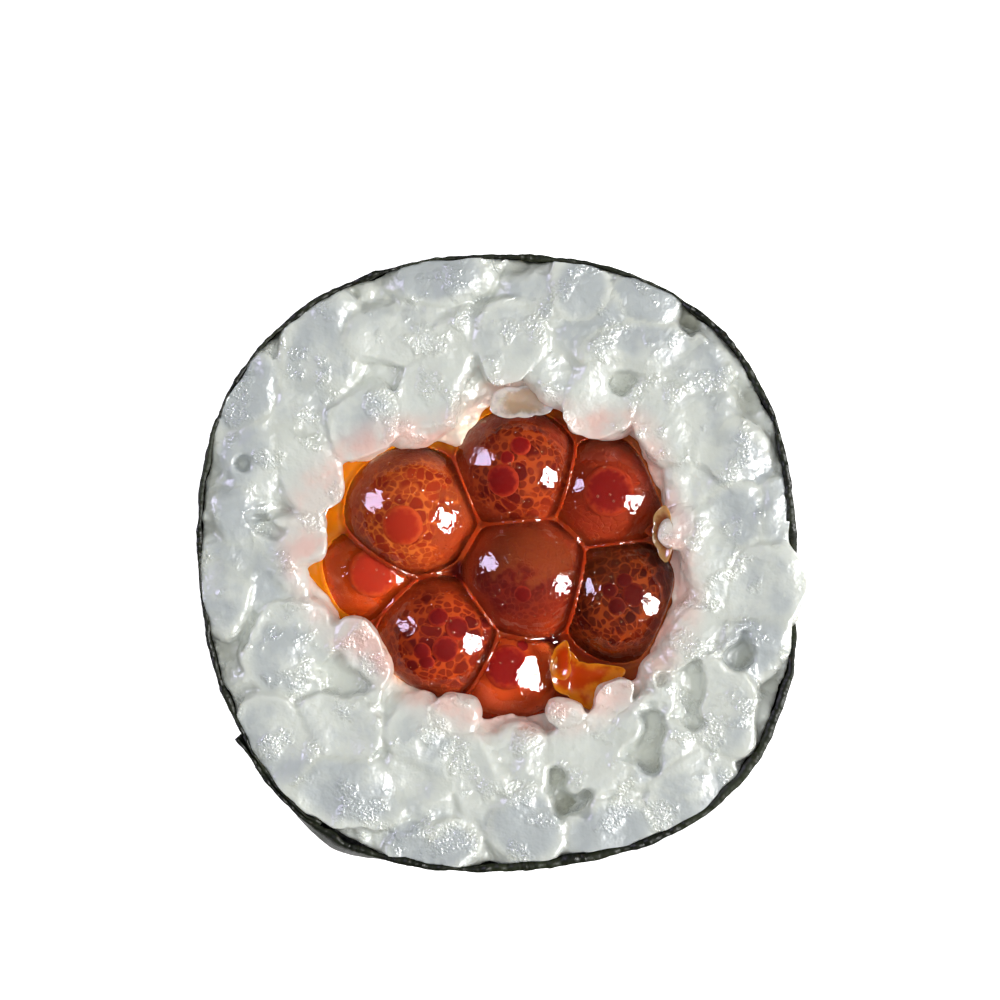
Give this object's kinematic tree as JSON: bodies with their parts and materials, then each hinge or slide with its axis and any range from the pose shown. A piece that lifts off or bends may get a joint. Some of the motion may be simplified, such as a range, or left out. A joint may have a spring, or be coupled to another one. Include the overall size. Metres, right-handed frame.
{
  "type": "salmon roe maki",
  "caption": "Thick slice of a rice roll wrapped in seaweed and filled with glossy salmon roe, standing on its cut face",
  "frame": {"origin": "centre of the bounding box's foot, on the plane of the lower cut face", "axes": "+Z up along the roll's axis, towards the shown cut face; +Y is up in the picture and +X is right in it"},
  "size_m": [0.0304, 0.0312, 0.0241],
  "materials": {
    "seaweed": "dark green-black dried seaweed, softened and satin",
    "rice": "cooked short grain rice, milky, translucent and wet",
    "roe_juice": "orange-red roe juice, glossy",
    "roe_skin": "torn orange egg skin, glossy and clear at its edges",
    "roe_egg": "clear amber jelly over red oil droplets, wet and glossy"
  },
  "bodies": {
    "root": {"nori": "seaweed", "rice": "rice", "roe_filling": "roe_juice", "burst_skin": "roe_skin", "egg_upper_left": "roe_egg", "egg_upper_middle": "roe_egg", "egg_upper_right": "roe_egg", "egg_left": "roe_egg", "egg_centre": "roe_egg", "egg_right": "roe_egg", "egg_lower_left": "roe_egg", "egg_lower_middle": "roe_egg"}
  },
  "joints": []
}
